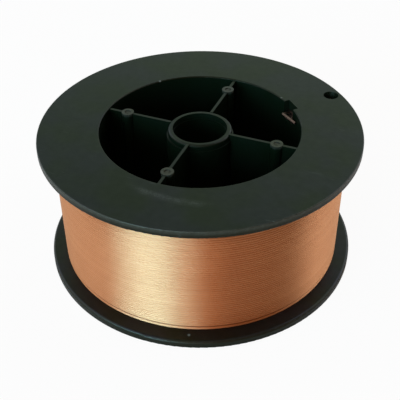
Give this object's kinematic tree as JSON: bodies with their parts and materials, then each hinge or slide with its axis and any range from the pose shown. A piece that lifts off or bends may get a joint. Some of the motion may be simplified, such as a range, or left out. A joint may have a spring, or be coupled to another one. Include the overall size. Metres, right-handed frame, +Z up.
{
  "type": "mig welding wire spool",
  "caption": "Moulded plastic spool with two flanges, a ribbed barrel and a spindle bore, wound with copper-coated welding wire.",
  "frame": {"origin": "centre of the lower flange's outer face, on the bore's axis", "axes": "+Z up along the bore, towards the flange with the tie-off hole; the ribs lie along X and Y"},
  "size_m": [0.1, 0.1, 0.045],
  "materials": {
    "spool_plastic": "satin black moulded plastic with a fine moulded grain",
    "coppered_wire": "steel wire with a thin bright copper coat, wound in even layers"
  },
  "bodies": {
    "root": {"upper_half": "spool_plastic", "lower_half": "spool_plastic", "wound_wire": "coppered_wire"}
  },
  "joints": []
}
